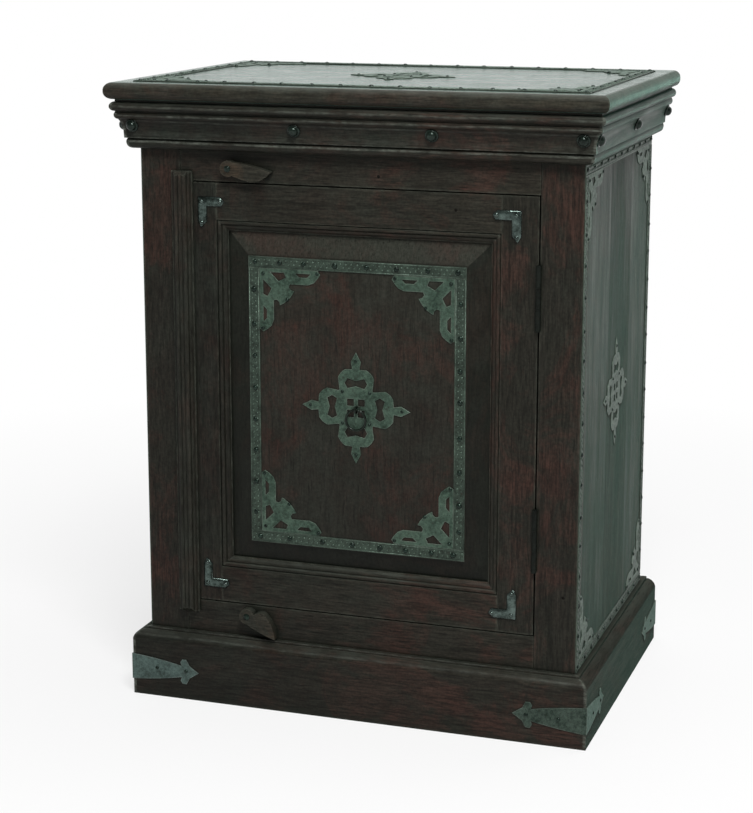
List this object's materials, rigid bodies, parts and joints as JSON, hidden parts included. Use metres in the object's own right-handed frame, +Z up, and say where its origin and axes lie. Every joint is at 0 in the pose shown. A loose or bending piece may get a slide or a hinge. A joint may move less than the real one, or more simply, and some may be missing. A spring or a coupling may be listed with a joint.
{
  "type": "storage side table",
  "caption": "Dark wooden side cabinet with one hinged panelled door, shelf, pull ring, turn-buttons, moulded cornice and plinth, and pierced iron fittings.",
  "frame": {"origin": "bottom centre of the bounding box, on the floor", "axes": "+Z up, +X to the right as the door is faced, and the door faces -Y"},
  "size_m": [0.607, 0.4246, 0.763],
  "materials": {
    "cabinet_wood": "dark worn lacquer",
    "door_wood": "dark worn lacquer",
    "cabinet_iron": "aged, embossed",
    "door_iron": "aged, embossed",
    "bracket_iron": "worn bright on the edges",
    "hinge_iron": "aged",
    "ring_iron": "worn smooth",
    "button_wood": "bare worn wood"
  },
  "bodies": {
    "cabinet": {"side_panel_left": "cabinet_wood", "side_panel_right": "cabinet_wood", "face_stile_left": "cabinet_wood", "face_stile_right": "cabinet_wood", "face_rail_top": "cabinet_wood", "face_rail_bottom": "cabinet_wood", "back_panel": "cabinet_wood", "bottom_board": "cabinet_wood", "bottom_cleats": "cabinet_wood", "shelf": "cabinet_wood", "shelf_cleats": "cabinet_wood", "top_cleats": "cabinet_wood", "top_board": "cabinet_wood", "cornice_front": "cabinet_wood", "cornice_back": "cabinet_wood", "cornice_left": "cabinet_wood", "cornice_right": "cabinet_wood", "plinth_front": "cabinet_wood", "plinth_back": "cabinet_wood", "plinth_left": "cabinet_wood", "plinth_right": "cabinet_wood", "cornice_studs": "cabinet_iron", "plinth_strap_front_left": "cabinet_iron", "plinth_strap_front_right": "cabinet_iron", "plinth_strap_back_left": "cabinet_iron", "plinth_strap_back_right": "cabinet_iron", "side_border_left": "cabinet_iron", "side_corner_plates_left": "cabinet_iron", "side_cross_plate_left": "cabinet_iron", "side_border_right": "cabinet_iron", "side_corner_plates_right": "cabinet_iron", "side_cross_plate_right": "cabinet_iron", "top_border": "cabinet_iron", "top_corner_plates": "cabinet_iron", "top_cross_plate": "cabinet_iron", "hinge_leaf_frame_upper": "hinge_iron", "hinge_leaf_frame_lower": "hinge_iron", "hinge_pin_upper": "hinge_iron", "hinge_pin_lower": "hinge_iron", "button_nails": "cabinet_iron"},
    "door": {"door_stile_left": "door_wood", "door_stile_right": "door_wood", "door_rail_top": "door_wood", "door_rail_bottom": "door_wood", "door_panel": "door_wood", "astragal": "door_wood", "door_border": "door_iron", "door_corner_plates": "door_iron", "door_cross_plate": "door_iron", "door_brackets": "bracket_iron", "hinge_leaf_door_upper": "hinge_iron", "hinge_leaf_door_lower": "hinge_iron", "ring_staple": "ring_iron"},
    "ring": {"pull_ring": "ring_iron"},
    "button_upper": {"turn_button_upper": "button_wood"},
    "button_lower": {"turn_button_lower": "button_wood"}
  },
  "joints": [
    {"name": "door_hinge", "type": "hinge", "parent": "cabinet", "child": "door", "pos_m": [0.21975, -0.18255, 0.386], "axis": [0, 0, 1], "range_deg": [0, 170]},
    {"name": "ring_swing", "type": "hinge", "parent": "door", "child": "ring", "pos_m": [0.0012, -0.18385, 0.383], "axis": [-1, 0, 0], "range_deg": [-4, 175]},
    {"name": "turn_button_upper_turn", "type": "hinge", "parent": "cabinet", "child": "button_upper", "pos_m": [-0.1556, -0.18535, 0.6632], "axis": [0, 1, 0], "range_deg": [0, 70]},
    {"name": "turn_button_lower_turn", "type": "hinge", "parent": "cabinet", "child": "button_lower", "pos_m": [-0.1388, -0.18535, 0.1136], "axis": [0, -1, 0], "range_deg": [0, 115]}
  ]
}
